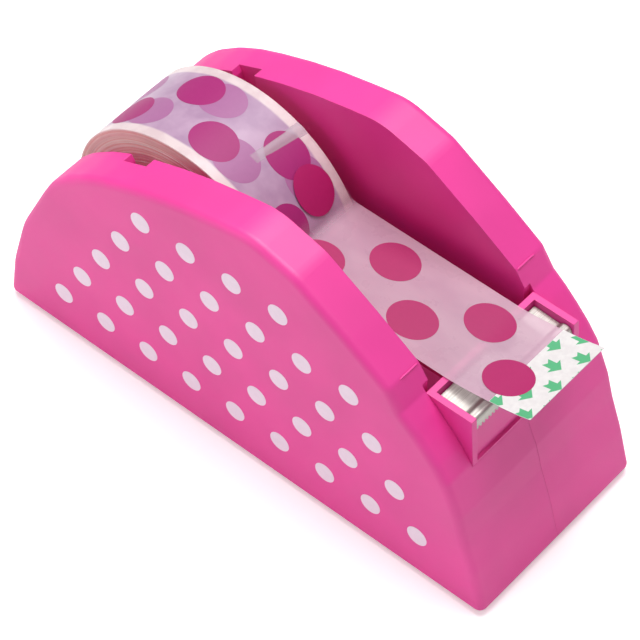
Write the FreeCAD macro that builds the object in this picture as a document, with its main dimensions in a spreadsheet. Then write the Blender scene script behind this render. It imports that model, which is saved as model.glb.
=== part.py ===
"""Desk tape dispenser with a shaggy mound body, a lift-out spool and a serrated cutter.

Frame: X runs from the back to the cutter end, Y across the body, Z up.
The origin is on the table, under the centre of the body.
"""
import FreeCAD
import Part
import math
import os

import Sketcher  # noqa: F401  registers the sketch object type

V = FreeCAD.Vector
OVER = 5.0           # how far a cutting tool runs past what it cuts, in millimetres
CORNER_ROOM = 0.45   # share of a side that one corner arc may take up

doc = FreeCAD.newDocument("tape_dispenser")
sizes = doc.addObject("Spreadsheet::Sheet", "sizes")

DIMENSIONS = [
    # overall body
    ("body_length", 141.0),
    ("body_height", 75.2),
    ("body_width", 53.0),
    ("cheek_thickness", 10.3),
    ("edge_round", 2.0),
    ("wall", 2.0),
    ("end_wall", 2.5),
    ("recess_wall", 2.4),
    ("foot_height", 0.6),
    ("foot_radius", 4.0),
    ("foot_depth", 1.2),
    ("foot_inset", 12.0),
    ("base_thickness", 2.0),
    ("floor_thickness", 2.0),
    ("rear_wall_height", 14.0),
    ("join_gap", 0.05),
    ("plate_gap", 0.2),
    # tape roll and spool
    ("tape_width", 25.0),
    ("tape_outer_radius", 31.0),
    ("core_outer_radius", 14.7),
    ("core_wall", 1.5),
    ("floor_gap", 1.5),
    ("core_fit", 0.05),
    ("hub_wall", 1.6),
    ("hub_side_gap", 0.5),
    ("hub_stop_height", 1.2),
    ("hub_stop_width", 1.4),
    ("hub_stop_room", 3.2),
    ("web_thickness", 1.8),
    ("web_inset", 1.0),
    ("axle_radius", 3.2),
    ("axle_fit", 0.08),
    ("bearing_wall", 1.6),
    ("slot_depth", 2.6),
    ("slot_fit", 0.15),
    ("slot_angle", 13.5),
    ("slot_inset", 2.9),
    ("slot_lead_in", 3.0),
    ("axle_end_gap", 0.3),
    ("slot_wall", 1.5),
    # free end of the tape
    ("film_thickness", 0.2),
    ("running_gap", 0.3),
    ("strip_reach", 69.3),
    ("leader_length", 11.0),
    ("leader_rise", 14.0),
    ("leader_thickness", 0.15),
    ("strip_lift", 1.6),
    # cutter tray and blade
    ("tray_width", 36.0),
    ("tray_wall", 1.6),
    ("tray_length", 12.3),
    ("tray_depth", 14.2),
    ("tray_behind_brow", 0.1),
    ("tray_below_brow", 0.5),
    ("pocket_back", 1.0),
    ("tray_gap", 0.05),
    ("tray_lip", 0.9),
    ("tray_lip_drop", 1.0),
    ("tray_face_wall", 0.8),
    ("tray_floor", 0.6),
    ("blade_seat_drop", 2.4),
    ("blade_thickness", 0.6),
    ("blade_lip", 2.4),
    ("blade_side_gap", 0.15),
    ("blade_back_gap", 0.3),
    ("blade_dip", 0.35),
    ("blade_crest", 0.5),
    ("blade_dip_place", 2.6),
    ("blade_crest_place", 1.7),
    ("blade_crest_reach", 0.2),
    ("blade_tip_reach", 1.0),
    ("tooth_depth", 0.7),
    ("tooth_pitch", 1.1),
    # ballast and screws
    ("ballast_length", 12.0),
    ("ballast_width", 28.0),
    ("ballast_height", 24.0),
    ("ballast_gap", 0.3),
    ("screw_radius", 1.25),
    ("screw_head_radius", 2.4),
    ("screw_head_height", 1.2),
    ("screw_length", 8.0),
    ("screw_boss_radius", 3.2),
    ("pilot_fit", 0.05),
    ("pilot_end", 1.0),
    ("screw_tip_gap", 0.6),
    ("screw_clearance", 0.25),
    ("sink_clearance", 0.2),
    ("screw_rear_inset", 13.0),
    ("screw_front_inset", 16.0),
    ("boss_sink", 0.4),
    ("drive_length", 2.6),
    ("drive_width", 0.5),
    ("drive_depth", 0.7),
]
for row, (alias, value) in enumerate(DIMENSIONS, start=1):
    sizes.set(f"A{row}", alias)
    sizes.set(f"B{row}", str(value))
    sizes.setAlias(f"B{row}", alias)
doc.recompute()


def size(alias):
    return float(sizes.get(alias))


def bind(thing, **expressions):
    """Tie properties of a document object to expressions over the sheet."""
    for path, expression in expressions.items():
        thing.setExpression(path.replace("__", "."), expression)
    return thing


def s(text):
    """Write an expression over sheet names: every @name becomes a cell reference."""
    return text.replace("@", "sizes.")


def box(name, x, y, z, length, width, height):
    """Box from its low corner and its three sides, each an expression."""
    thing = doc.addObject("Part::Box", name)
    return bind(thing, Length=s(length), Width=s(width), Height=s(height),
                Placement__Base__x=s(x), Placement__Base__y=s(y), Placement__Base__z=s(z))


def cylinder(name, radius, height, x="0 mm", y="0 mm", z="0 mm", along="z"):
    """Cylinder from the centre of its low end, along z or y."""
    thing = doc.addObject("Part::Cylinder", name)
    if along == "y":
        thing.Placement = FreeCAD.Placement(V(0, 0, 0), FreeCAD.Rotation(V(1, 0, 0), -90))
    return bind(thing, Radius=s(radius), Height=s(height),
                Placement__Base__x=s(x), Placement__Base__y=s(y), Placement__Base__z=s(z))


def cut(name, base, tool):
    thing = doc.addObject("Part::Cut", name)
    thing.Base = base
    thing.Tool = tool
    return thing


def fuse(name, *parts):
    thing = doc.addObject("Part::MultiFuse", name)
    thing.Shapes = list(parts)
    return thing


def common(name, *parts):
    thing = doc.addObject("Part::MultiCommon", name)
    thing.Shapes = list(parts)
    return thing


# ---------------------------------------------------------------- derived places
# Every number here follows from the sheet.
ground = size("foot_height")
half_length = size("body_length") / 2
half_width = size("body_width") / 2
channel_half = half_width - size("cheek_thickness")
floor_top = ground + size("base_thickness") + size("floor_thickness")

# The side outline: share of the half length, share of the height, corner radius,
# and whether the hollow inside follows that corner.
NOMINAL_HALF = 70.5
NOMINAL_HEIGHT = 75.2
OUTLINE = [
    (-70.6, 0.0, 2.0, True),      # rear foot
    (-68.6, 13.0, 30.0, True),
    (-64.4, 28.0, 30.0, True),
    (-57.0, 43.4, 20.0, True),    # rear shoulder
    (-53.8, 49.4, 20.0, False),
    (-49.5, 54.2, 20.0, True),
    (-43.4, 59.0, 20.0, False),
    (-37.6, 62.4, 20.0, False),
    (-31.4, 65.2, 30.0, True),    # over the axle slots
    (-22.6, 68.6, 30.0, False),
    (-13.8, 71.4, 30.0, True),
    (-4.0, 73.8, 30.0, False),
    (5.0, 75.7, 16.0, True),      # crest
    (17.6, 72.2, 9.0, True),
    (32.0, 63.4, 60.0, True),
    (42.8, 56.2, 2.5, True),      # brow before the cutter
    (46.2, 50.9, 2.2, False),
    (49.7, 48.0, 8.0, False),
    (53.1, 44.6, 8.0, False),
    (56.3, 41.0, 8.0, False),
    (59.2, 37.0, 4.0, True),
    (62.8, 28.2, 6.0, True),      # front ridge
    (64.6, 21.4, 1.0, True),
    (67.6, 12.6, 20.0, True),
    (70.9, 0.0, 2.0, True),       # front foot
]
length_share = half_length / NOMINAL_HALF
height_share = size("body_height") / NOMINAL_HEIGHT


def scaled(point):
    return (point[0] * length_share, ground + point[1] * height_share)


outer = [scaled(point) for point in OUTLINE]


def front_x(z):
    """Where the front of the outline is at height z."""
    front = outer[14:]
    for (x_high, z_high), (x_low, z_low) in zip(front, front[1:]):
        if z_low <= z <= z_high:
            return x_high + (x_low - x_high) * (z_high - z) / (z_high - z_low)
    return front[-1][0]


def inset(points, distance):
    """Move each side of a clockwise polygon inwards by a distance."""
    moved = []
    count = len(points)
    for i in range(count):
        before, here, after = points[i - 1], points[i], points[(i + 1) % count]
        sides = []
        for a, b in ((before, here), (here, after)):
            dx, dz = b[0] - a[0], b[1] - a[1]
            run = math.hypot(dx, dz)
            normal = (dz / run, -dx / run)
            sides.append((a[0] + normal[0] * distance, a[1] + normal[1] * distance, dx, dz))
        (ax, az, adx, adz), (bx, bz, bdx, bdz) = sides
        cross = adx * bdz - adz * bdx
        t = ((bx - ax) * bdz - (bz - az) * bdx) / cross
        moved.append((ax + adx * t, az + adz * t))
    return moved


def outline_edges(points, radii):
    """Straight sides joined by arcs of the given corner radii."""
    corners = []
    count = len(points)
    for i in range(count):
        here = V(points[i][0], points[i][1], 0)
        to_before = V(points[i - 1][0], points[i - 1][1], 0) - here
        to_after = V(points[(i + 1) % count][0], points[(i + 1) % count][1], 0) - here
        if radii[i] <= 0:
            corners.append((here, None, here))
            continue
        turn = to_before.getAngle(to_after)
        room = CORNER_ROOM * min(to_before.Length, to_after.Length)
        reach = min(radii[i] / math.tan(turn / 2), room)
        radius = reach * math.tan(turn / 2)
        bisector = to_before.normalize() + to_after.normalize()
        bisector.normalize()
        middle = here + bisector * (radius / math.sin(turn / 2) - radius)
        corners.append((here + to_before * reach, middle, here + to_after * reach))
    edges = []
    for i in range(count):
        start, middle, end = corners[i]
        if middle is not None:
            edges.append(Part.Arc(start, middle, end))
        following = corners[(i + 1) % count][0]
        if (following - end).Length > 1e-6:
            edges.append(Part.LineSegment(end, following))
    return edges


def side_sketch(body, name, points, radii=None):
    """A sketch in the body's own XZ plane: sketch x is X and sketch y is Z."""
    sketch = body.newObject("Sketcher::SketchObject", name)
    plane = [f for f in body.Origin.OriginFeatures if f.Role == "XZ_Plane"][0]
    sketch.AttachmentSupport = [(plane, "")]
    sketch.MapMode = "FlatFace"
    for edge in outline_edges(points, radii or [0.0] * len(points)):
        sketch.addGeometry(edge, False)
    return sketch


def side_pad(name, points, width, radii=None):
    """A body padded evenly to both sides of the centre plane."""
    body = doc.addObject("PartDesign::Body", name)
    sketch = side_sketch(body, name + "_sketch", points, radii)
    pad = body.newObject("PartDesign::Pad", name + "_pad")
    pad.Profile = sketch
    pad.Midplane = True
    bind(pad, Length=s(width))
    doc.recompute()
    return body, pad


# ---------------------------------------------------------------- spool places
mouth_x = outer[8][0] - size("slot_inset")
mouth_z = outer[8][1]
axle_z = floor_top + size("floor_gap") + size("tape_outer_radius")
lean = math.radians(size("slot_angle"))
axle_x = mouth_x + math.tan(lean) * (mouth_z - axle_z)

# ---------------------------------------------------------------- tray places
tray_back = outer[16][0] + size("tray_behind_brow")
tray_top = outer[16][1] - size("tray_below_brow")
tray_front = tray_back + size("tray_length")
tray_bottom = tray_top - size("tray_depth")
tray_foot = front_x(tray_bottom)
seat_z = tray_top - size("blade_seat_drop")

for alias, value in (("axle_x", axle_x), ("axle_z", axle_z), ("tray_back", tray_back),
                     ("tray_top", tray_top), ("floor_top", floor_top)):
    row += 1
    sizes.set(f"A{row}", alias)
    sizes.set(f"B{row}", str(value))
    sizes.setAlias(f"B{row}", alias)
doc.recompute()
CHANNEL_HALF = "(@body_width / 2 - @cheek_thickness)"

# ---------------------------------------------------------------- housing
mound, mound_pad = side_pad("mound", outer, "@body_width * 1 mm", [p[2] for p in OUTLINE])
rounding = mound.newObject("PartDesign::Fillet", "mound_round")
side_edges = []
for i, edge in enumerate(mound_pad.Shape.Edges, start=1):
    box_of = edge.BoundBox
    flat = box_of.YLength < 1e-6 and abs(abs(box_of.YMin) - half_width) < 1e-6
    if flat:
        side_edges.append(f"Edge{i}")
rounding.Base = (mound_pad, side_edges)
bind(rounding, Radius=s("@edge_round * 1 mm"))
mound.Tip = rounding
doc.recompute()

hollow = inset([p for p, spec in zip(outer, OUTLINE) if spec[3]], size("wall"))
plate_half = half_length - size("recess_wall")
hollow = [(x, z) if z > floor_top else (math.copysign(plate_half, x), ground - OVER) for x, z in hollow]
cheek_hollow, _ = side_pad("cheek_hollow", hollow, "(@body_width - 2 * @wall) * 1 mm")
cheek_keep = box("cheek_keep", "-@body_length * 1 mm", f"-({CHANNEL_HALF} + @wall) * 1 mm", f"-{OVER} mm",
                 "@body_length * 2 mm", f"({CHANNEL_HALF} + @wall) * 2 mm", "@body_height * 2 mm")
cheek_voids = cut("cheek_voids", cheek_hollow, cheek_keep)

# The nose is hollow under the tray, between the cheeks.
nose_hollow, _ = side_pad("nose_hollow", hollow, f"({CHANNEL_HALF} * 2) * 1 mm")
nose_room = box("nose_room", "(@tray_back + @wall) * 1 mm", "-@body_width * 1 mm", f"-{OVER} mm",
                "@body_length * 1 mm", "@body_width * 2 mm",
                f"(@tray_top - @tray_depth - @wall + {OVER}) * 1 mm")
nose_void = common("nose_void", nose_hollow, nose_room)

channel = box("channel", "(@end_wall - @body_length / 2) * 1 mm", f"-{CHANNEL_HALF} * 1 mm",
              "@floor_top * 1 mm", "(@body_length / 2 - @end_wall + @tray_back) * 1 mm",
              f"{CHANNEL_HALF} * 2 mm", "@body_height * 2 mm")
rear_mouth = box("rear_mouth", "-@body_length * 1 mm", f"-{CHANNEL_HALF} * 1 mm",
                 "(@floor_top + @rear_wall_height) * 1 mm", "@body_length * 1 mm",
                 f"{CHANNEL_HALF} * 2 mm", "@body_height * 2 mm")
tray_pocket, _ = side_pad("tray_pocket", [
    (tray_back - size("pocket_back"), tray_bottom - size("tray_gap")),
    (tray_back - size("pocket_back"), tray_top + OVER),
    (half_length + OVER, tray_top + OVER),
    (half_length + OVER, tray_bottom - size("tray_gap")),
], "(@tray_width + 2 * @tray_gap) * 1 mm")
base_recess = box("base_recess", "(@recess_wall - @body_length / 2) * 1 mm",
                  "(@wall - @body_width / 2) * 1 mm", f"-{OVER} mm",
                  "(@body_length - 2 * @recess_wall) * 1 mm", "(@body_width - 2 * @wall) * 1 mm",
                  f"(@foot_height + @base_thickness + {OVER}) * 1 mm")

# The slots for the axle's ends lean forward as they go down.
slot_half = size("axle_radius") + size("slot_fit")
along_slot = V(-math.sin(lean), 0, math.cos(lean))
across_slot = V(math.cos(lean), 0, math.sin(lean))
seat = V(axle_x, 0, axle_z)
slot_reach = (mouth_z - axle_z) / math.cos(lean)


def slot_points(half, low, high):
    corners = []
    for side, rise in ((-1, low), (-1, high), (1, high), (1, low)):
        corner = seat + across_slot * (side * half) + along_slot * rise
        corners.append((corner.x, corner.z))
    return corners


SLOT_SPAN = f"({CHANNEL_HALF} + @slot_depth) * 2 mm"
slot_run, _ = side_pad("slot_run", slot_points(slot_half, 0.0, slot_reach + 2 * OVER), SLOT_SPAN)
slot_end = cylinder("slot_end", "(@axle_radius + @slot_fit) * 1 mm", SLOT_SPAN,
                    "@axle_x * 1 mm", f"-({CHANNEL_HALF} + @slot_depth) * 1 mm", "@axle_z * 1 mm", "y")
lead = size("slot_lead_in")
lip = seat + along_slot * (slot_reach - lead * 1.2) - across_slot * slot_half
slot_mouth, _ = side_pad("slot_mouth", [
    (lip.x, lip.z),
    (lip.x - lead, lip.z + lead * 1.6),
    (lip.x - lead, lip.z + lead * 5),
    (lip.x + slot_half, lip.z + lead * 5),
    (lip.x + slot_half, lip.z),
], SLOT_SPAN)
slots = fuse("slots", slot_run, slot_end, slot_mouth)

boss_half = slot_half + size("slot_wall")
slot_boss, _ = side_pad("slot_boss", slot_points(boss_half, -boss_half, slot_reach + 2 * OVER),
                        f"({CHANNEL_HALF} + @slot_depth + @slot_wall) * 2 mm")
voids = cut("voids", cheek_voids, slot_boss)

removed = fuse("removed", voids, nose_void, channel, rear_mouth, tray_pocket, base_recess, slots)
shell = cut("shell", mound, removed)

# Bosses inside the nose and the cheeks take the base screws.
screw_places = []
boss_y = half_width - size("wall") - size("screw_boss_radius") + size("boss_sink")
for x in (size("screw_rear_inset") - half_length, half_length - size("screw_front_inset")):
    for y in (-boss_y, boss_y):
        screw_places.append((x, y))
boss_top = ground + size("base_thickness") + size("screw_length")
boss_solids = []
pilot_solids = []
for i, (x, y) in enumerate(screw_places, start=1):
    boss_solids.append(cylinder(f"boss_{i}", "@screw_boss_radius * 1 mm", "@screw_length * 1 mm",
                                f"{x} mm", f"{y} mm", "(@foot_height + @base_thickness) * 1 mm"))
    pilot_solids.append(cylinder(f"pilot_{i}", "(@screw_radius + @pilot_fit) * 1 mm",
                                 "(@screw_length - @pilot_end) * 1 mm", f"{x} mm", f"{y} mm",
                                 "(@foot_height + @base_thickness - 0.1) * 1 mm"))
bosses = fuse("bosses", *boss_solids)
inside = side_pad("inside", outer, "(@body_width - @wall) * 1 mm")[0]
bosses_inside = common("bosses_inside", bosses, inside)
shell_bossed = fuse("shell_bossed", shell, bosses_inside)
pilots = fuse("pilots", *pilot_solids)
shell_done = cut("shell_done", shell_bossed, pilots)

right_side = box("right_side", "-@body_length * 1 mm", "-@body_width * 1 mm", f"-{OVER} mm",
                 "@body_length * 2 mm", "(@body_width - @join_gap / 2) * 1 mm", "@body_height * 2 mm")
left_side = box("left_side", "-@body_length * 1 mm", "@join_gap / 2 * 1 mm", f"-{OVER} mm",
                "@body_length * 2 mm", "@body_width * 1 mm", "@body_height * 2 mm")
housing_right = common("housing_right_solid", shell_done, right_side)
housing_left = common("housing_left_solid", shell_done, left_side)

# ---------------------------------------------------------------- base, feet and screws
base_blank = box("base_blank", "(@recess_wall + @plate_gap - @body_length / 2) * 1 mm",
                 "(@wall + @plate_gap - @body_width / 2) * 1 mm", "@foot_height * 1 mm",
                 "(@body_length - 2 * @recess_wall - 2 * @plate_gap) * 1 mm",
                 "(@body_width - 2 * @wall - 2 * @plate_gap) * 1 mm", "@base_thickness * 1 mm")
foot_solids = []
foot_pockets = []
for i, (sx, sy) in enumerate(((-1, -1), (-1, 1), (1, -1), (1, 1)), start=1):
    foot_x = f"({sx} * (@body_length / 2 - @foot_inset * 2)) * 1 mm"
    foot_y = f"({sy} * (@body_width / 2 - @foot_inset)) * 1 mm"
    foot_solids.append(cylinder(f"foot_{i}", "@foot_radius * 1 mm", "@foot_depth * 1 mm", foot_x, foot_y))
    foot_pockets.append(cylinder(f"foot_pocket_{i}", "(@foot_radius + @pilot_fit) * 1 mm",
                                 "@foot_depth * 1 mm", foot_x, foot_y))
foot_pads = fuse("foot_pads_solid", *foot_solids)
screw_holes = []
screw_solids = []
for i, (x, y) in enumerate(screw_places, start=1):
    spot = (f"{x} mm", f"{y} mm")
    screw_holes.append(cylinder(f"hole_{i}", "(@screw_radius + @screw_clearance) * 1 mm",
                                "@base_thickness * 3 mm", *spot, "0 mm"))
    screw_holes.append(cylinder(f"sink_{i}", "(@screw_head_radius + @sink_clearance) * 1 mm",
                                "(@screw_head_height + @foot_height) * 1 mm", *spot, "0 mm"))
    head = cylinder(f"head_{i}", "@screw_head_radius * 1 mm", "@screw_head_height * 1 mm",
                    *spot, "@foot_height * 1 mm")
    shank = cylinder(f"shank_{i}", "@screw_radius * 1 mm", "(@screw_length - @screw_tip_gap) * 1 mm",
                     *spot, "(@foot_height + @screw_head_height) * 1 mm")
    drive_height = "(@drive_depth + @foot_height) * 1 mm"
    socket_a = box(f"drive_a_{i}", f"({x} - @drive_length / 2) * 1 mm", f"({y} - @drive_width / 2) * 1 mm",
                   "0 mm", "@drive_length * 1 mm", "@drive_width * 1 mm", drive_height)
    socket_b = box(f"drive_b_{i}", f"({x} - @drive_width / 2) * 1 mm", f"({y} - @drive_length / 2) * 1 mm",
                   "0 mm", "@drive_width * 1 mm", "@drive_length * 1 mm", drive_height)
    screw_solids.append(cut(f"screw_{i}", fuse(f"screw_body_{i}", head, shank),
                            fuse(f"drive_{i}", socket_a, socket_b)))
base_plate = cut("base_plate_solid", base_blank, fuse("base_cuts", *foot_pockets, *screw_holes))
base_screws = fuse("base_screws_solid", *screw_solids)

ballast_front = box("ballast_solid", "(@tray_back + @wall + @ballast_gap) * 1 mm",
                    "-@ballast_width / 2 * 1 mm", "(@foot_height + @base_thickness) * 1 mm",
                    "@ballast_length * 1 mm", "@ballast_width * 1 mm", "@ballast_height * 1 mm")

# ---------------------------------------------------------------- cutter tray and blade
wall_t = size("tray_wall")
tray_body, _ = side_pad("tray_blank", [
    (tray_back, tray_bottom),
    (tray_back, tray_top),
    (tray_front, tray_top),
    (tray_foot, tray_bottom),
], "@tray_width * 1 mm")
lip_x = tray_front - size("tray_lip")
face_wall = size("tray_face_wall")
floor_low = tray_bottom + size("tray_floor")
tray_room, _ = side_pad("tray_room", [
    (tray_back + wall_t, seat_z),
    (tray_back + wall_t, tray_top + OVER),
    (half_length + OVER, tray_top + OVER),
    (half_length + OVER, floor_low),
    (tray_foot - face_wall, floor_low),
    (lip_x, seat_z - size("tray_lip_drop")),
], "(@tray_width - 2 * @tray_wall) * 1 mm")
tray_under, _ = side_pad("tray_under", [
    (tray_back + wall_t, tray_bottom - OVER),
    (tray_back + wall_t, seat_z - wall_t),
    (lip_x - wall_t - 4 * size("tray_gap"), seat_z - wall_t - face_wall),
    (tray_foot - face_wall - wall_t, tray_bottom - OVER),
], "(@tray_width - 2 * @tray_wall) * 1 mm")
cutter_tray = cut("cutter_tray_solid", cut("tray_open", tray_body, tray_room), tray_under)

# The blade: a flat plate, a bend up, and a lip that turns down into teeth.
blade_t = size("blade_thickness")
blade_back = tray_back + wall_t + size("blade_back_gap")
crest = size("blade_crest")
dip = size("blade_dip")
dip_x = lip_x - size("blade_dip_place")
crest_x = lip_x - size("blade_crest_place")
crest_end = lip_x + size("blade_crest_reach")
tip_x = lip_x + size("blade_tip_reach")
tip_z = seat_z + blade_t + crest - size("blade_lip")
top_line = [
    (blade_back, seat_z + blade_t),
    (dip_x, seat_z + blade_t - dip),
    (crest_x, seat_z + blade_t + crest),
    (crest_end, seat_z + blade_t + crest),
    (tip_x, tip_z),
]
low_line = [
    (tip_x - blade_t, tip_z),
    (crest_end - blade_t * 0.75, seat_z + crest),
    (crest_x + blade_t * 0.4, seat_z + crest),
    (dip_x + blade_t * 0.2, seat_z - dip),
    (blade_back, seat_z),
]
blade_blank, _ = side_pad("blade_blank", top_line + low_line,
                          "(@tray_width - 2 * @tray_wall - 2 * @blade_side_gap) * 1 mm",
                          [0, 1.0, 0.8, 0.9, 0, 0, 0.3, 0.3, 0.5, 0])
blade_half = size("tray_width") / 2 - wall_t - size("blade_side_gap")
pitch = size("tooth_pitch")
tooth_count = int((2 * blade_half) // pitch)
notch = doc.addObject("Part::Feature", "tooth_notches")
tooth_flat = 0.04
wedge_x = crest_x
wedges = []
for i in range(tooth_count):
    y = (i - (tooth_count - 1) / 2) * pitch
    corners = [
        V(wedge_x, y - pitch / 2 + tooth_flat, tip_z - size("tooth_depth") / 2),
        V(wedge_x, y, tip_z + size("tooth_depth")),
        V(wedge_x, y + pitch / 2 - tooth_flat, tip_z - size("tooth_depth") / 2),
    ]
    face = Part.Face(Part.makePolygon(corners + corners[:1]))
    wedges.append(face.extrude(V(tray_front + size("tray_lip") - wedge_x, 0, 0)))
notch.Shape = Part.makeCompound(wedges)
cutter_blade = cut("cutter_blade_solid", blade_blank, notch)

# ---------------------------------------------------------------- spool
axle = cylinder("axle_solid", "@axle_radius * 1 mm",
                f"({CHANNEL_HALF} + @slot_depth - @axle_end_gap) * 2 mm", "@axle_x * 1 mm",
                f"-({CHANNEL_HALF} + @slot_depth - @axle_end_gap) * 1 mm", "@axle_z * 1 mm", "y")

HUB_OUT = "(@core_outer_radius - @core_wall - @core_fit)"
HUB_HALF = f"({CHANNEL_HALF} - @hub_side_gap)"
# The stop keeps its share of the room between the tape and the hub's end.
STOP_WIDTH = f"(@hub_stop_width * ({HUB_HALF} - @tape_width / 2) / @hub_stop_room)"


def ring(name, outside, inside_radius, low, span):
    """A tube about the axle, from y = low over a span."""
    solid = cylinder(name + "_out", f"{outside} * 1 mm", f"{span} * 1 mm", "@axle_x * 1 mm",
                     f"{low} * 1 mm", "@axle_z * 1 mm", "y")
    hole = cylinder(name + "_in", f"{inside_radius} * 1 mm", f"({span} + 2 * {OVER}) * 1 mm",
                    "@axle_x * 1 mm", f"({low} - {OVER}) * 1 mm", "@axle_z * 1 mm", "y")
    return cut(name, solid, hole)


def hub_half(name, side):
    """Half of the hub: rim, web, bearing sleeve and the stop beside the core."""
    low = f"(-{HUB_HALF})" if side < 0 else "(@join_gap / 2)"
    span = f"({HUB_HALF} - @join_gap / 2)"
    rim = ring(name + "_rim", HUB_OUT, f"({HUB_OUT} - @hub_wall)", low, span)
    sleeve = ring(name + "_sleeve", "(@axle_radius + @axle_fit + @bearing_wall)",
                  "(@axle_radius + @axle_fit)", low, span)
    web_low = f"(-{HUB_HALF} + @web_inset)" if side < 0 else f"({HUB_HALF} - @web_inset - @web_thickness)"
    web = ring(name + "_web", f"({HUB_OUT} - @hub_wall / 2)",
               "(@axle_radius + @axle_fit + @bearing_wall / 2)", web_low, "@web_thickness")
    stop_low = f"(-{HUB_HALF})" if side < 0 else f"({HUB_HALF} - {STOP_WIDTH})"
    stop = ring(name + "_stop", f"({HUB_OUT} + @hub_stop_height)", f"({HUB_OUT} - @hub_wall / 2)",
                stop_low, STOP_WIDTH)
    return fuse(name, rim, sleeve, web, stop)


hub_right = hub_half("hub_right_solid", -1)
hub_left = hub_half("hub_left_solid", 1)
tape_core = ring("tape_core_solid", "@core_outer_radius", "(@core_outer_radius - @core_wall)",
                 "(-@tape_width / 2)", "@tape_width")
tape_roll = ring("tape_roll_solid", "@tape_outer_radius", "@core_outer_radius",
                 "(-@tape_width / 2)", "@tape_width")

# ---------------------------------------------------------------- free end of the tape
film = size("film_thickness")
strip_z = tray_top + size("running_gap")
clear_radius = size("tape_outer_radius") + size("running_gap")
peel = math.asin((strip_z - axle_z) / clear_radius)
peel_x = axle_x + clear_radius * math.cos(peel)
reach = size("strip_reach") * length_share
leader_rise = math.radians(size("leader_rise"))
leader_x = reach - size("leader_length") * math.cos(leader_rise)
strip_lift = size("strip_lift")


def ribbon(name, line, thickness, lift):
    """A thin band that follows a line of (x, z) points, lifted by an offset."""
    upper = [(x, z + lift + thickness) for x, z in line]
    lower = [(x, z + lift) for x, z in reversed(line)]
    return side_pad(name, upper + lower, "@tape_width * 1 mm")[0]


take_off = [(peel_x, strip_z), (tray_back, strip_z), (leader_x, strip_z + strip_lift)]
tip = (reach, strip_z + strip_lift + size("leader_length") * math.sin(leader_rise))
tape_strip = ribbon("tape_strip_solid", take_off + [tip], film, 0.0)
leader_tab = ribbon("leader_tab_solid", [take_off[-1], tip], size("leader_thickness"),
                    -size("leader_thickness"))

# ---------------------------------------------------------------- write the pieces
NODES = {
    "housing_right": housing_right,
    "housing_left": housing_left,
    "base_plate": base_plate,
    "foot_pads": foot_pads,
    "base_screws": base_screws,
    "ballast_front": ballast_front,
    "cutter_tray": cutter_tray,
    "cutter_blade": cutter_blade,
    "axle": axle,
    "hub_right": hub_right,
    "hub_left": hub_left,
    "tape_core": tape_core,
    "tape_roll": tape_roll,
    "tape_strip": tape_strip,
    "leader_tab": leader_tab,
}
for label, thing in NODES.items():
    thing.Label = label
doc.recompute()

broken = [o.Name for o in doc.Objects if "Invalid" in o.State or "Error" in o.State]
if broken:
    raise RuntimeError("failed objects: " + ", ".join(broken))
for label, thing in NODES.items():
    if thing.Shape.isNull() or not thing.Shape.isValid() or not thing.Shape.Solids:
        raise RuntimeError(label + " has no valid shape")

os.makedirs("parts", exist_ok=True)
for label, thing in NODES.items():
    thing.Shape.exportStep(f"parts/{label}.step")
    b = thing.Shape.BoundBox
    corners = [round(v, 2) for v in (b.XMin, b.YMin, b.ZMin, b.XMax, b.YMax, b.ZMax)]
    print(label, len(thing.Shape.Solids), "solids", round(thing.Shape.Volume, 1), "mm3", corners)
print("axle at", round(axle_x, 3), round(axle_z, 3), "tray", round(tray_back, 2), round(tray_top, 2))
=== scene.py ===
"""Looks for the tape dispenser: materials, printed film, printed side and studio."""

import math
import random

import bmesh
import bpy
from mathutils import Matrix, Vector


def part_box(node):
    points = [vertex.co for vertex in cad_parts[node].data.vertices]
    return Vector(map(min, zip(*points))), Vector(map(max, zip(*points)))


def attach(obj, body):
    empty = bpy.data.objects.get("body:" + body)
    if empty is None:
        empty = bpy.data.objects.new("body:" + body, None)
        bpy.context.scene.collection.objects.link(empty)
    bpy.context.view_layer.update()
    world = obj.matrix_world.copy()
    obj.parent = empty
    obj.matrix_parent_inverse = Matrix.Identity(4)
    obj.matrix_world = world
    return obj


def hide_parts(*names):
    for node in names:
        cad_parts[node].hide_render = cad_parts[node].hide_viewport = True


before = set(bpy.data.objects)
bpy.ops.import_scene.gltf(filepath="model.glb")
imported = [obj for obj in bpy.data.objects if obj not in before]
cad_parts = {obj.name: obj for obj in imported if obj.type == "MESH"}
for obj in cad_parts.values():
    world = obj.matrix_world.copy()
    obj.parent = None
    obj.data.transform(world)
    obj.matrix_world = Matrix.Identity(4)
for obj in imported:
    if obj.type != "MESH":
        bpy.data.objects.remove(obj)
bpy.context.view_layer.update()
MM = 0.001


def corner(node, which):
    """A node's low (0) or high (1) corner in millimetres."""
    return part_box(node)[which] / MM


# ---------------------------------------------------------------- places from the frame
SIDE_Y = corner("housing_right", 0).y
FOOT = corner("base_plate", 0).z
AXLE = (corner("axle", 0) + corner("axle", 1)) / 2
TAPE_RADIUS = (corner("tape_roll", 1).x - corner("tape_roll", 0).x) / 2
CORE_RADIUS = (corner("tape_core", 1).x - corner("tape_core", 0).x) / 2
TAPE_HALF = corner("tape_roll", 1).y
STRIP_Z = corner("tape_strip", 0).z
PEEL = math.asin((STRIP_Z - AXLE.z) / TAPE_RADIUS)
TRAY_LOW = corner("cutter_tray", 0)
TRAY_HIGH = corner("cutter_tray", 1)
BROW_X = TRAY_LOW.x - 3.5
BROW_Z = TRAY_HIGH.z + 5.75
LEADER_LOW = corner("leader_tab", 0)
LEADER_HIGH = corner("leader_tab", 1)


# ---------------------------------------------------------------- material helpers
def rgb(red, green, blue):
    """A screen colour of 0 to 255 a channel as linear light."""
    linear = []
    for channel in (red, green, blue):
        c = channel / 255
        linear.append(c / 12.92 if c <= 0.04045 else ((c + 0.055) / 1.055) ** 2.4)
    return (*linear, 1.0)


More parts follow.
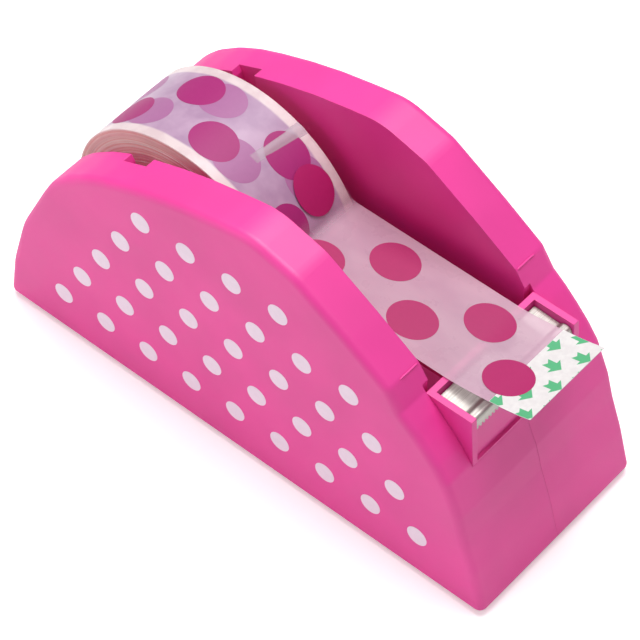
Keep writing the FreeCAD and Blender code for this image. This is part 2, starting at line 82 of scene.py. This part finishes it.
class Nodes:
    """A material's node tree with short calls for what this file uses."""

    def __init__(self, name, roughness=0.4, metallic=0.0, **sockets):
        self.material = bpy.data.materials.new(name)
        self.material.use_nodes = True
        self.tree = self.material.node_tree
        self.shader = self.tree.nodes["Principled BSDF"]
        self.shader.inputs["Roughness"].default_value = roughness
        self.shader.inputs["Metallic"].default_value = metallic
        for socket, value in sockets.items():
            self.shader.inputs[socket.replace("_", " ")].default_value = value

    def add(self, kind, **settings):
        node = self.tree.nodes.new(kind)
        for key, value in settings.items():
            setattr(node, key, value)
        return node

    def link(self, source, target):
        self.tree.links.new(source, target)

    def position(self, scale=(1, 1, 1)):
        """Object coordinates in millimetres, stretched by a scale."""
        coordinates = self.add("ShaderNodeTexCoord")
        mapping = self.add("ShaderNodeMapping")
        mapping.inputs["Scale"].default_value = [k / MM for k in scale]
        self.link(coordinates.outputs["Object"], mapping.inputs["Vector"])
        return mapping.outputs["Vector"]

    def noise(self, size, detail=3.0, stretch=(1, 1, 1)):
        """Noise whose features are about size millimetres across."""
        texture = self.add("ShaderNodeTexNoise")
        texture.inputs["Scale"].default_value = 1 / size
        texture.inputs["Detail"].default_value = detail
        self.link(self.position(stretch), texture.inputs["Vector"])
        return texture.outputs["Fac"]

    def ramp(self, factor, stops):
        node = self.add("ShaderNodeValToRGB")
        elements = node.color_ramp.elements
        while len(elements) < len(stops):
            elements.new(0.5)
        for element, (place, colour) in zip(elements, stops):
            element.position = place
            element.color = colour if len(colour) == 4 else (*colour, 1)
        self.link(factor, node.inputs["Fac"])
        return node.outputs["Color"]

    def colour(self, factor, low, high, start=0.35, end=0.65):
        self.link(self.ramp(factor, [(start, low), (end, high)]), self.shader.inputs["Base Color"])

    def roughness(self, factor, low, high):
        node = self.add("ShaderNodeMapRange")
        node.inputs["To Min"].default_value = low
        node.inputs["To Max"].default_value = high
        self.link(factor, node.inputs["Value"])
        self.link(node.outputs["Result"], self.shader.inputs["Roughness"])

    def bump(self, height, distance, strength=1.0):
        node = self.add("ShaderNodeBump")
        node.inputs["Distance"].default_value = distance * MM
        node.inputs["Strength"].default_value = strength
        self.link(height, node.inputs["Height"])
        self.link(node.outputs["Normal"], self.shader.inputs["Normal"])
        return node


def shade(colour, factor):
    return (*(c * factor for c in colour[:3]), 1.0)


def plastic(name, colour, roughness, grain=0.6, depth=0.004, spread=0.06, edge=0.2, **sockets):
    """Moulded plastic: faint mottling, an uneven gloss, a fine grain and softened edges."""
    m = Nodes(name, roughness, **sockets)
    m.colour(m.noise(22, 2), shade(colour, 1 - spread), shade(colour, 1 + spread / 2))
    m.roughness(m.noise(9, 4), roughness - 0.05, roughness + 0.06)
    bump = m.bump(m.noise(grain, 2), depth)
    soften = m.add("ShaderNodeBevel", samples=6)
    soften.inputs["Radius"].default_value = edge * MM
    m.link(soften.outputs["Normal"], bump.inputs["Normal"])
    return m.material


def ink(name, colour, roughness=0.42):
    """Printed ink: nearly even, with the slight mottle of a pad print."""
    m = Nodes(name, roughness)
    m.colour(m.noise(1.2, 4), shade(colour, 0.98), shade(colour, 1.01))
    m.bump(m.noise(0.35, 2), 0.004)
    return m.material


def brushed_steel():
    m = Nodes("blade_steel", 0.4, 0.85)
    streaks = m.noise(1.0, 5, stretch=(6, 0.12, 6))
    m.colour(streaks, rgb(168, 164, 158), rgb(204, 200, 194))
    m.roughness(streaks, 0.32, 0.5)
    m.bump(streaks, 0.01)
    return m.material


def cast_iron():
    m = Nodes("ballast_iron", 0.7, 0.8)
    m.colour(m.noise(1.5, 5), rgb(58, 56, 55), rgb(96, 92, 90))
    m.bump(m.noise(0.7, 4), 0.08)
    return m.material


def rubber():
    m = Nodes("foot_rubber", 0.8)
    m.colour(m.noise(1.0, 4), rgb(34, 34, 36), rgb(48, 47, 50))
    m.bump(m.noise(0.4, 3), 0.02)
    return m.material


def board():
    """Wound board of the tape's core."""
    m = Nodes("core_board", 0.85)
    m.colour(m.noise(0.8, 5, stretch=(1, 3, 1)), rgb(150, 112, 92), rgb(196, 160, 132))
    m.bump(m.noise(0.5, 4), 0.03)
    return m.material


def film_on_roll():
    """Wound printed film: mauve in the middle and clear, whitish bands at both edges."""
    m = Nodes("tape_wound", 0.34)
    m.shader.inputs["Coat Weight"].default_value = 0.35
    m.shader.inputs["Coat Roughness"].default_value = 0.2
    coordinates = m.add("ShaderNodeTexCoord")
    split = m.add("ShaderNodeSeparateXYZ")
    m.link(coordinates.outputs["Object"], split.inputs["Vector"])
    distance = m.add("ShaderNodeMath", operation="ABSOLUTE")
    m.link(split.outputs["Y"], distance.inputs[0])
    wander = m.add("ShaderNodeMath", operation="MULTIPLY_ADD")
    wander.inputs[1].default_value = 0.5 * MM
    m.link(m.noise(6, 2), wander.inputs[0])
    m.link(distance.outputs[0], wander.inputs[2])
    share = m.add("ShaderNodeMath", operation="DIVIDE")
    share.inputs[1].default_value = TAPE_HALF * MM
    m.link(wander.outputs[0], share.inputs[0])
    band = m.ramp(share.outputs[0], [(0.80, (0, 0, 0)), (0.84, (1, 1, 1))])
    cloud = m.ramp(m.noise(7, 3), [(0.38, rgb(172, 136, 168)), (0.62, rgb(190, 156, 184))])
    edge = m.ramp(m.noise(4, 3), [(0.4, rgb(216, 192, 196)), (0.6, rgb(226, 206, 208))])
    mix = m.add("ShaderNodeMix", data_type="RGBA")
    m.link(band, mix.inputs[0])
    m.link(cloud, mix.inputs[6])
    m.link(edge, mix.inputs[7])
    m.link(mix.outputs[2], m.shader.inputs["Base Color"])
    m.roughness(m.noise(5, 4), 0.28, 0.42)
    m.bump(m.noise(3.0, 3), 0.03)
    return m.material


def roll_side():
    """The cut faces of the wound film: close rings of pinkish beige."""
    m = Nodes("tape_side", 0.5)
    coordinates = m.add("ShaderNodeTexCoord")
    centre = m.add("ShaderNodeVectorMath", operation="SUBTRACT")
    centre.inputs[1].default_value = (AXLE.x * MM, 0, AXLE.z * MM)
    m.link(coordinates.outputs["Object"], centre.inputs[0])
    flat = m.add("ShaderNodeVectorMath", operation="MULTIPLY")
    flat.inputs[1].default_value = (1 / MM, 0, 1 / MM)
    m.link(centre.outputs[0], flat.inputs[0])
    length = m.add("ShaderNodeVectorMath", operation="LENGTH")
    m.link(flat.outputs[0], length.inputs[0])
    rings = m.add("ShaderNodeTexNoise", noise_dimensions="1D")
    rings.inputs["Scale"].default_value = 1.6
    rings.inputs["Detail"].default_value = 6
    m.link(length.outputs["Value"], rings.inputs["W"])
    m.colour(rings.outputs["Fac"], rgb(228, 170, 162), rgb(252, 236, 228), 0.3, 0.7)
    m.bump(rings.outputs["Fac"], 0.12)
    return m.material


def clear_film():
    """The free end: frosted film, clearer towards the roll, that lets the pink below through."""
    m = Nodes("tape_clear", 0.3)
    m.colour(m.noise(8, 3, stretch=(0.5, 1, 1)), rgb(222, 182, 204), rgb(232, 196, 214))
    m.roughness(m.noise(4, 4), 0.2, 0.38)
    m.bump(m.noise(5, 3, stretch=(0.4, 1, 1)), 0.05)
    coordinates = m.add("ShaderNodeTexCoord")
    split = m.add("ShaderNodeSeparateXYZ")
    m.link(coordinates.outputs["Object"], split.inputs["Vector"])
    fade = m.add("ShaderNodeMapRange", interpolation_type="SMOOTHSTEP")
    fade.inputs["From Min"].default_value = (AXLE.x + TAPE_RADIUS * math.cos(PEEL + 0.14)) * MM
    fade.inputs["From Max"].default_value = (AXLE.x + TAPE_RADIUS * math.cos(PEEL) + 4) * MM
    fade.inputs["To Min"].default_value = 0.0
    fade.inputs["To Max"].default_value = 0.5
    m.link(split.outputs["X"], fade.inputs["Value"])
    m.link(fade.outputs["Result"], m.shader.inputs["Alpha"])
    m.material.surface_render_method = "BLENDED"
    return m.material


def paper():
    m = Nodes("leader_paper", 0.6)
    m.colour(m.noise(1.4, 5), rgb(216, 212, 212), rgb(224, 221, 220))
    m.bump(m.noise(0.5, 4), 0.01)
    return m.material


PINK = rgb(239, 48, 154)
body_pink = plastic("body_pink", PINK, 0.5, grain=0.5, depth=0.003, IOR=1.75)
base_pink = plastic("base_plastic", rgb(226, 44, 144), 0.55, grain=0.4, depth=0.02)
spool_white = plastic("spool_plastic", rgb(232, 222, 226), 0.45)
steel = brushed_steel()
screw_steel = plastic("screw_steel", rgb(150, 150, 152), 0.35, edge=0.15, Metallic=1.0)
wound = film_on_roll()
side_rings = roll_side()
clear = clear_film()
# painted highlight: a pale, half-clear sheet, lighter than the wound film, that stands for the light band
# along the pleat's ridge
pleat_highlight_sheet = plastic("tape_pleat_painted_highlight", rgb(222, 204, 216), 0.4, edge=0.05, Alpha=0.34)
leader_white = paper()
INKS = {
    "white": ink("ink_white", rgb(246, 224, 240)),
    "magenta": ink("ink_magenta", rgb(164, 30, 112), 0.5),
    "berry": ink("ink_berry", rgb(172, 14, 96), 0.5),
    "lilac": ink("ink_lilac", rgb(170, 106, 154), 0.45),
    "green": ink("ink_green", rgb(84, 176, 124)),
}


# ---------------------------------------------------------------- mesh helpers
def piece(name, verts, faces, material, body, crease=35):
    """A mesh from points in millimetres, smooth but for its creases, riding on a body."""
    mesh = bpy.data.meshes.new(name)
    mesh.from_pydata([Vector(v) * MM for v in verts], [], faces)
    mesh.materials.append(material)
    mesh.shade_smooth()
    mesh.set_sharp_from_angle(angle=math.radians(crease))
    thing = bpy.data.objects.new(name, mesh)
    bpy.context.scene.collection.objects.link(thing)
    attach(thing, body)
    return thing


def thin(name, flat, faces, place, lift, thickness, material, body):
    """A closed thin piece over faces drawn in (u, v), its top lift + thickness above the surface."""
    count = len(flat)
    verts = [place(u, v, lift + thickness) for u, v in flat] + [place(u, v, lift) for u, v in flat]
    closed = [list(f) for f in faces] + [[i + count for i in reversed(f)] for f in faces]
    directed = {(f[k - 1], f[k]) for f in faces for k in range(len(f))}
    for a, b in sorted(directed):
        if (b, a) not in directed:
            closed.append([b, a, a + count, b + count])
    return piece(name, verts, closed, material, body)


def decal(name, outlines, place, material, body, lift=0.0, stations=(), window=None, thickness=0.03):
    """Flat shapes of (u, v) points laid on a surface.

    place(u, v, lift) gives the point in millimetres. The shapes are cut at the stations along u
    so that they follow a curved surface, and trimmed to a window (low u, high u, low v, high v).
    """
    sheet = bmesh.new()
    for outline in outlines:
        sheet.faces.new([sheet.verts.new((u, v, 0)) for u, v in outline])
    sheet.normal_update()
    bmesh.ops.triangulate(sheet, faces=sheet.faces[:])

    def slice_at(point, normal, trim):
        bmesh.ops.bisect_plane(sheet, geom=sheet.verts[:] + sheet.edges[:] + sheet.faces[:],
                               plane_co=point, plane_no=normal, clear_outer=trim)

    if window:
        low_u, high_u, low_v, high_v = window
        slice_at((high_u, 0, 0), (1, 0, 0), True)
        slice_at((low_u, 0, 0), (-1, 0, 0), True)
        slice_at((0, high_v, 0), (0, 1, 0), True)
        slice_at((0, low_v, 0), (0, -1, 0), True)
    low = min(v.co.x for v in sheet.verts)
    high = max(v.co.x for v in sheet.verts)
    for station in stations:
        if low + 1e-4 < station < high - 1e-4:
            slice_at((station, 0, 0), (1, 0, 0), False)
    bmesh.ops.recalc_face_normals(sheet, faces=sheet.faces[:])
    sheet.verts.index_update()
    flat = [(v.co.x, v.co.y) for v in sheet.verts]
    faces = [[v.index for v in f.verts] for f in sheet.faces]
    if sheet.faces[0].normal.z < 0:
        faces = [f[::-1] for f in faces]
    sheet.free()
    return thin(name, flat, faces, place, lift, thickness, material, body)


def grid_of(low_u, high_u, low_v, high_v, count_u, count_v):
    """Points and four-sided faces of an even grid in (u, v)."""
    stations = [low_u + (high_u - low_u) * i / count_u for i in range(count_u + 1)]
    return grid_at(stations, low_v, high_v, count_v)


def grid_at(stations, low_v, high_v, count_v):
    """A grid whose rows lie at the given stations along u."""
    flat = [(u, low_v + (high_v - low_v) * k / count_v) for u in stations for k in range(count_v + 1)]
    faces = []
    for i in range(len(stations) - 1):
        for k in range(count_v):
            a = i * (count_v + 1) + k
            faces.append((a, a + count_v + 1, a + count_v + 2, a + 1))
    return flat, faces


def circle(u, v, radius_u, radius_v=None, count=64):
    radius_v = radius_v or radius_u
    return [(u + radius_u * math.cos(2 * math.pi * i / count),
             v + radius_v * math.sin(2 * math.pi * i / count)) for i in range(count)]


# ---------------------------------------------------------------- printed side
def on_side(u, v, lift):
    """u runs along the body and v up, on the printed cheek."""
    return (u, SIDE_Y - lift, v)


def side_dots():
    """Staggered rows of plain dots over the cheek, fewer in the rows nearer the crest."""
    pitch, row_pitch, low, dot_radius = 13.0, 11.0, 14.0, 2.7
    row_reaches = (55, 51, 45, 37, 25)
    dots = []
    for row, reach in enumerate(row_reaches):
        for column in range(-5, 6):
            x = column * pitch + (pitch / 2 if row % 2 else 0.0)
            if abs(x + 2) <= reach:
                dots.append(circle(x, low + row * row_pitch, dot_radius, count=48))
    return dots


decal("print_dots", side_dots(), on_side, INKS["white"], "housing")


# ---------------------------------------------------------------- wound tape
TURNS = 256   # flats round the wound roll


def on_roll(u, v, lift):
    """u is the distance round the roll from straight ahead, up and back; v is across."""
    angle = u / TAPE_RADIUS
    radius = TAPE_RADIUS + lift
    return (AXLE.x + radius * math.cos(angle), v, AXLE.z + radius * math.sin(angle))


def wound_tape():
    """A turned ring: worn outer corners and a fine step between bundles of turns."""
    rng = random.Random(4)
    profile = [(TAPE_RADIUS, -TAPE_HALF + 0.12), (TAPE_RADIUS, -TAPE_HALF / 2), (TAPE_RADIUS, 0),
               (TAPE_RADIUS, TAPE_HALF / 2), (TAPE_RADIUS, TAPE_HALF - 0.12)]
    side = []
    radius = TAPE_RADIUS - 0.1
    while radius > CORE_RADIUS + 0.5:
        step = rng.uniform(0.35, 1.5)
        depth = rng.uniform(0.0, 0.16)
        side.append((radius, depth))
        side.append((max(radius - step, CORE_RADIUS + 0.3), depth))
        radius -= step + 0.06
    profile += [(r, TAPE_HALF - d) for r, d in side]
    profile += [(CORE_RADIUS, TAPE_HALF - 0.05), (CORE_RADIUS, -TAPE_HALF + 0.05)]
    profile += [(r, -TAPE_HALF + d) for r, d in reversed(side)]
    verts = []
    for i in range(TURNS):
        angle = 2 * math.pi * i / TURNS
        for radius, y in profile:
            verts.append((AXLE.x + radius * math.cos(angle), y, AXLE.z + radius * math.sin(angle)))
    count = len(profile)
    faces = []
    for i in range(TURNS):
        a, b = i * count, ((i + 1) % TURNS) * count
        for k in range(count):
            after = (k + 1) % count
            faces.append((a + k, a + after, b + after, b + k))
    ring = piece("tape_wound_roll", verts, faces, wound, "roll")
    ring.data.materials.append(side_rings)
    for face in ring.data.polygons:
        if abs(face.normal.y) > 0.7:
            face.material_index = 1
    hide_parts("tape_roll")
    return ring


wound_tape()


def at(degrees):
    return math.radians(degrees) * TAPE_RADIUS


# A plain repeat of ovals: one set of every ink, half a step apart and on opposite edges.
PRINT_STEP = 24       # degrees round the roll
STRIP_STEP = 13.0     # the same repeat along the free end
STRIP_FIRST = 8.0
OVAL = (12.0, 10.0)
OVAL_OFFSET = 5.0


def oval(u, v):
    return circle(u, v, OVAL[0] / 2, OVAL[1] / 2, 56)


ROLL_STATIONS = [at(360 * i / TURNS) for i in range(-TURNS // 4, TURNS)]
ROLL_WINDOW = (at(-90), at(360), 0.15 - TAPE_HALF, TAPE_HALF - 0.15)
for layer, (ink_name, first, turns) in enumerate((("lilac", -73, 18), ("magenta", -85, 19))):
    for i in range(turns):
        side = 1 if (i + layer) % 2 else -1
        decal(f"roll_{ink_name}_{i + 1}", [oval(at(first + PRINT_STEP * i), side * OVAL_OFFSET)], on_roll,
              INKS[ink_name], "roll", lift=0.02 * layer, stations=ROLL_STATIONS,
              window=ROLL_WINDOW, thickness=0.02)


def roll_crease():
    """A trapped pleat of air in the top turn: a low, broad swelling across half the roll, under a pale sheet
    that is a painted highlight along its ridge.
    """
    along, across = 16, 30
    low_v, high_v = -2.0, TAPE_HALF - 0.1
    half_width = 1.7

    def on_pleat(u, v, lift):
        share = (v - low_v) / (high_v - low_v)
        swell = math.cos(u * math.pi / 2) ** 2 * math.sin(min(1.0, share * 2.2) * math.pi / 2) ** 2
        middle = at(65) - 0.12 * (v - 5)
        return on_roll(middle + u * half_width * (0.7 + 0.3 * share), v, lift + 0.22 * swell)

    flat, faces = grid_of(-1, 1, low_v, high_v, along, across)
    # the swelling is real shape; its pale colour is a painted highlight
    thin("roll_pleat", flat, faces, on_pleat, 0.0, 0.02, pleat_highlight_sheet, "roll")


roll_crease()


# ---------------------------------------------------------------- free end of the tape
def strip_line():
    """Centre line of the free end as points of (x, z), one every half millimetre or so."""
    gap = 0.35
    points = []
    hug_start, hug_end, hugs = PEEL + 0.5, PEEL + 0.03, 20
    for i in range(hugs + 1):
        angle = hug_start + (hug_end - hug_start) * i / hugs
        points.append((AXLE.x + (TAPE_RADIUS + gap) * math.cos(angle),
                       AXLE.z + (TAPE_RADIUS + gap) * math.sin(angle)))
    start = Vector((*points[-1], 0))
    heading = Vector((math.sin(hug_end), -math.cos(hug_end), 0))
    level = STRIP_Z + 0.1
    flat = Vector((start.x + 3.6, level, 0))
    stations = [
        (start, start + heading * 1.1),
        (flat, Vector((-1.6, 0, 0)) + flat),
        (Vector((TRAY_LOW.x, level, 0)), Vector((TRAY_LOW.x - 4, level - 0.05, 0))),
        (Vector((LEADER_LOW.x, LEADER_LOW.z + 0.2, 0)), Vector((LEADER_LOW.x - 3.6, LEADER_LOW.z - 0.4, 0))),
        (Vector((LEADER_HIGH.x, LEADER_HIGH.z + 0.1, 0)),
         Vector((LEADER_HIGH.x - 3.2, LEADER_HIGH.z - 1.2, 0))),
    ]
    from_geometry = []
    for i in range(len(stations) - 1):
        (a, _), (b, before_b) = stations[i], stations[i + 1]
        leave = stations[i][1] if i == 0 else a * 2 - stations[i][1]
        from_geometry += interpolate(a, leave, before_b, b, 40)[1:]
    points += [(p.x, p.y) for p in from_geometry]
    return points


def interpolate(a, b, c, d, count):
    """Points of the Bezier curve with ends a and d and handles b and c."""
    line = []
    for i in range(count + 1):
        s = i / count
        line.append(a * (1 - s) ** 3 + b * (3 * s * (1 - s) ** 2) + c * (3 * s * s * (1 - s)) + d * s ** 3)
    return line


LINE = strip_line()
RUN = [0.0]
for (x0, z0), (x1, z1) in zip(LINE, LINE[1:]):
    RUN.append(RUN[-1] + math.hypot(x1 - x0, z1 - z0))


def on_strip(u, v, lift):
    """u is the distance along the free end from where it leaves the roll; v is across."""
    i = 0
    while i < len(RUN) - 2 and RUN[i + 1] < u:
        i += 1
    share = (u - RUN[i]) / (RUN[i + 1] - RUN[i])
    (x0, z0), (x1, z1) = LINE[i], LINE[i + 1]
    run = RUN[i + 1] - RUN[i]
    normal = (-(z1 - z0) / run, (x1 - x0) / run)
    return (x0 + (x1 - x0) * share + normal[0] * lift, v, z0 + (z1 - z0) * share + normal[1] * lift)


def along_strip(x):
    """Distance along the free end to the point above x."""
    for i in range(len(LINE) - 1):
        if LINE[i][0] <= x <= LINE[i + 1][0]:
            share = (x - LINE[i][0]) / (LINE[i + 1][0] - LINE[i][0])
            return RUN[i] + (RUN[i + 1] - RUN[i]) * share
    return RUN[-1]


def ribbon(name, start, end, half, lift, thickness, material, node):
    """A band of film or paper along the free end."""
    stations = [start] + [u for u in RUN if start + 1e-4 < u < end - 1e-4] + [end]
    flat, faces = grid_at(stations, -half, half, 8)
    band = thin(name, flat, faces, on_strip, lift, thickness, material, "spool")
    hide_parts(node)
    return band


END = RUN[-1]
LEADER_START = along_strip(LEADER_LOW.x)
ribbon("tape_free_end", 0.0, END, TAPE_HALF, 0.0, 0.06, clear, "tape_strip")
ribbon("leader_paper", LEADER_START, END, TAPE_HALF, 0.08, 0.08, leader_white, "leader_tab")

STRIP_WINDOW = (0.0, END - 0.02, 0.05 - TAPE_HALF, TAPE_HALF - 0.05)
for number in range(1, 7):
    middle = STRIP_FIRST + STRIP_STEP * (number - 1)
    on_paper = middle + OVAL[0] / 2 > LEADER_START
    side = 1 if number % 2 else -1
    decal(f"strip_print_{number}", [oval(middle, side * OVAL_OFFSET)], on_strip, INKS["berry"], "spool",
          lift=0.18 if on_paper else 0.07, stations=RUN, window=STRIP_WINDOW, thickness=0.02)


def arrow(u, v, size):
    """A stubby arrow that points along u."""
    shape = [(-1.1, -0.5), (0.0, -0.5), (0.0, -1.05), (1.0, 0.0), (0.0, 1.05), (0.0, 0.5),
             (-1.1, 0.5), (-0.75, 0.0)]
    return [(u + size * x, v + size * y) for x, y in shape]


def arrows():
    """Staggered rows of arrows from the paper's inner edge to its end."""
    found = []
    pitch_u, pitch_v, shift = 4.0, 9.7, -2.0
    for row in range(4):
        for column in range(-2, 3):
            middle = column * pitch_v + shift + (pitch_v / 2 if row % 2 else 0.0)
            found.append(arrow(LEADER_START + 1.0 + row * pitch_u, middle, 2.1))
    return found


LEADER_WINDOW = (LEADER_START + 0.05, END - 0.02, 0.05 - TAPE_HALF, TAPE_HALF - 0.05)
decal("leader_arrows", arrows(), on_strip, INKS["green"], "spool", lift=0.16,
      stations=RUN, window=LEADER_WINDOW, thickness=0.012)


# ---------------------------------------------------------------- moulding lines
def brow_lines():
    """A fine raised moulding line across the inner half of each cheek, where it drops to the cutter."""
    inner = TRAY_HIGH.y - 1.8
    length, radius, sides, steps = 6.0, 0.24, 10, 12
    for side, body_side in (("right", -1), ("left", 1)):
        verts, faces = [], []
        for i in range(steps + 1):
            share = i / steps
            taper = math.sqrt(max(0.0, 1 - (2 * share - 1) ** 8))
            for k in range(sides):
                angle = 2 * math.pi * k / sides
                verts.append((BROW_X + radius * taper * math.cos(angle),
                              body_side * (inner + 0.3 + length * share),
                              BROW_Z + radius * taper * math.sin(angle)))
        for i in range(steps):
            for k in range(sides):
                a, b = i * sides + k, i * sides + (k + 1) % sides
                faces.append((a, b, b + sides, a + sides))
        piece(f"brow_line_{side}", verts, faces, body_pink, "housing")


brow_lines()


# ---------------------------------------------------------------- materials on the CAD nodes
FINISH = {
    "housing_right": body_pink,
    "housing_left": body_pink,
    "cutter_tray": body_pink,
    "base_plate": base_pink,
    "foot_pads": rubber(),
    "base_screws": screw_steel,
    "ballast_front": cast_iron(),
    "cutter_blade": steel,
    "axle": spool_white,
    "hub_right": spool_white,
    "hub_left": spool_white,
    "tape_core": board(),
}
for node, finish in FINISH.items():
    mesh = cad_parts[node].data
    mesh.materials.clear()
    mesh.materials.append(finish)


# ---------------------------------------------------------------- studio
FLOOR_GLOW = 0.35


def stage_floor():
    """A pale sweep that the camera sees as white and that still takes the shadow."""
    half = 1.2
    mesh = bpy.data.meshes.new("floor")
    corners = [(-half, -half, 0), (half, -half, 0), (half, half, 0), (-half, half, 0)]
    mesh.from_pydata(corners, [], [(0, 1, 2, 3)])
    m = Nodes("floor_pale", 0.9)
    m.colour(m.noise(60, 2), rgb(250, 250, 250), rgb(255, 255, 255))
    path = m.add("ShaderNodeLightPath")
    glow = m.add("ShaderNodeMath", operation="MULTIPLY")
    glow.inputs[1].default_value = FLOOR_GLOW
    m.link(path.outputs["Is Camera Ray"], glow.inputs[0])
    m.link(glow.outputs[0], m.shader.inputs["Emission Strength"])
    m.shader.inputs["Emission Color"].default_value = (1, 1, 1, 1)
    mesh.materials.append(m.material)
    floor = bpy.data.objects.new("floor", mesh)
    bpy.context.scene.collection.objects.link(floor)


def area_light(name, location, target, size, power, colour=(1, 1, 1)):
    data = bpy.data.lights.new(name, "AREA")
    data.shape = "DISK"
    data.size = size
    data.energy = power
    data.color = colour
    lamp = bpy.data.objects.new(name, data)
    lamp.location = location
    lamp.rotation_euler = (Vector(target) - Vector(location)).to_track_quat("-Z", "Y").to_euler()
    bpy.context.scene.collection.objects.link(lamp)


def studio():
    stage_floor()
    centre = (0, 0, 0.03)
    area_light("key", (-0.1, 0.12, 0.97), centre, 0.7, 8.8)
    area_light("fill", (-0.45, -0.85, 0.45), centre, 0.6, 1.9)
    area_light("front", (0.9, 0.1, 0.5), centre, 0.5, 0.12)
    world = bpy.data.worlds.new("studio")
    world.use_nodes = True
    background = world.node_tree.nodes["Background"]
    background.inputs["Color"].default_value = (1, 1, 1, 1)
    background.inputs["Strength"].default_value = 0.34
    bpy.context.scene.world = world


def camera():
    """The view from the cutter end, the printed side and above."""
    azimuth, elevation = math.radians(40.56), math.radians(50.87)
    distance, aim = 725.6, Vector((2.12, -0.16, 22.4 + FOOT))
    back = Vector((math.sin(azimuth) * math.cos(elevation), -math.cos(azimuth) * math.cos(elevation),
                   math.sin(elevation)))
    data = bpy.data.cameras.new("camera")
    data.sensor_width = 36
    data.lens = 183.4
    data.clip_end = 10
    view = bpy.data.objects.new("camera", data)
    turn = back.to_track_quat("Z", "Y").to_matrix().to_4x4()
    view.matrix_world = Matrix.Translation((aim + back * distance) * MM) @ turn
    bpy.context.scene.collection.objects.link(view)
    bpy.context.scene.camera = view


studio()
camera()
bpy.context.scene.view_settings.view_transform = "Standard"
